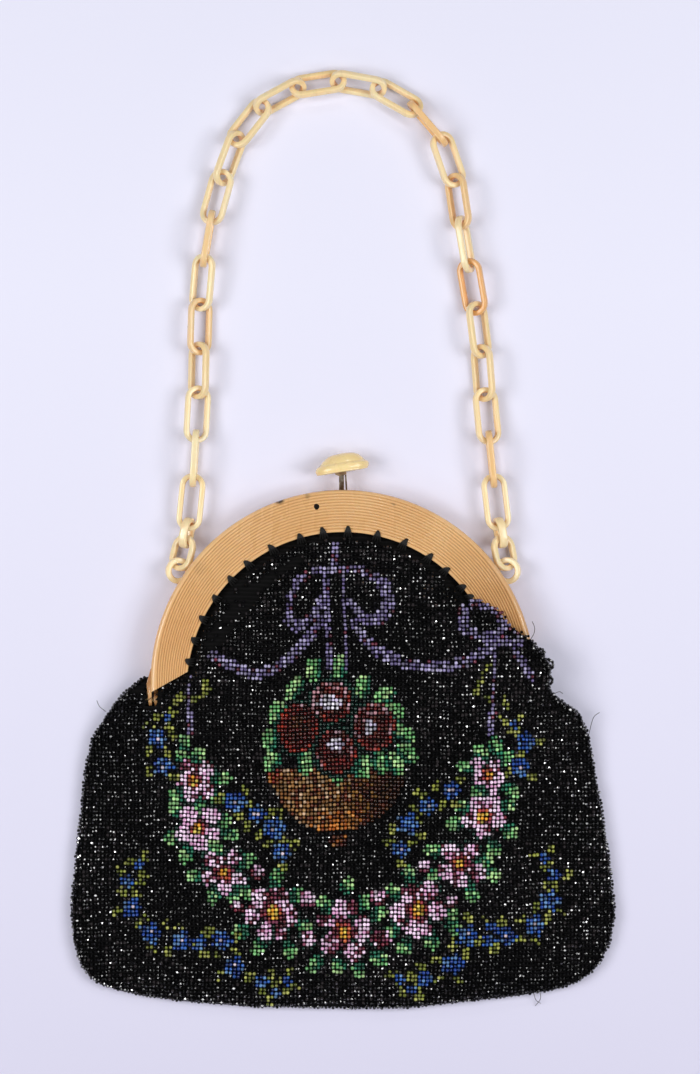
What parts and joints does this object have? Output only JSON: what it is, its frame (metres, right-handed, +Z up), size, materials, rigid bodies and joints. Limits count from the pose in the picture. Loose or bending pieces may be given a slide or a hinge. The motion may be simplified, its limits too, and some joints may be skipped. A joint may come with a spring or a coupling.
{
  "type": "beaded bag",
  "caption": "Flat black beaded handbag with a flower basket and garland, an arched ribbed celluloid frame, a push clasp with a knob and a celluloid link chain.",
  "frame": {"origin": "middle of the bag's bounding box on the surface that it lies on", "axes": "+X to the right, +Y from the pouch towards the top of the chain, +Z up from the surface, through the bag's front"},
  "size_m": [0.2192, 0.3772, 0.0176],
  "materials": {
    "celluloid_frame": "ribbed tan celluloid, polished at the rim",
    "celluloid_chain": "polished cream celluloid",
    "celluloid_knob": "polished cream celluloid",
    "clasp_metal": "tarnished steel",
    "hinge_metal": "dull brass",
    "beaded_cloth": "black cloth covered with glass seed beads"
  },
  "bodies": {
    "bag": {"frame_front": "celluloid_frame", "frame_back": "celluloid_frame", "hinge_pin_left": "hinge_metal", "hinge_pin_right": "hinge_metal", "pouch": "beaded_cloth", "link_01": "celluloid_chain", "link_02": "celluloid_chain", "link_03": "celluloid_chain", "link_04": "celluloid_chain", "link_05": "celluloid_chain", "link_06": "celluloid_chain", "link_07": "celluloid_chain", "link_08": "celluloid_chain", "link_09": "celluloid_chain", "link_10": "celluloid_chain", "link_11": "celluloid_chain", "link_12": "celluloid_chain", "link_13": "celluloid_chain", "link_14": "celluloid_chain", "link_15": "celluloid_chain", "link_16": "celluloid_chain", "link_17": "celluloid_chain", "link_18": "celluloid_chain", "link_19": "celluloid_chain", "link_20": "celluloid_chain", "link_21": "celluloid_chain", "link_22": "celluloid_chain", "link_23": "celluloid_chain", "link_24": "celluloid_chain", "connector_left": "celluloid_chain", "connector_right": "celluloid_chain", "oval_ring_left": "celluloid_chain", "oval_ring_right": "celluloid_chain", "frame_ring_left": "celluloid_chain", "frame_ring_right": "celluloid_chain"},
    "clasp": {"clasp_stem": "clasp_metal", "clasp_knob": "celluloid_knob"}
  },
  "joints": [
    {"name": "clasp_push", "type": "slide", "parent": "bag", "child": "clasp", "axis": [0, -1, 0], "range_m": [0, 0.003], "stiffness_N_per_m": 300}
  ]
}
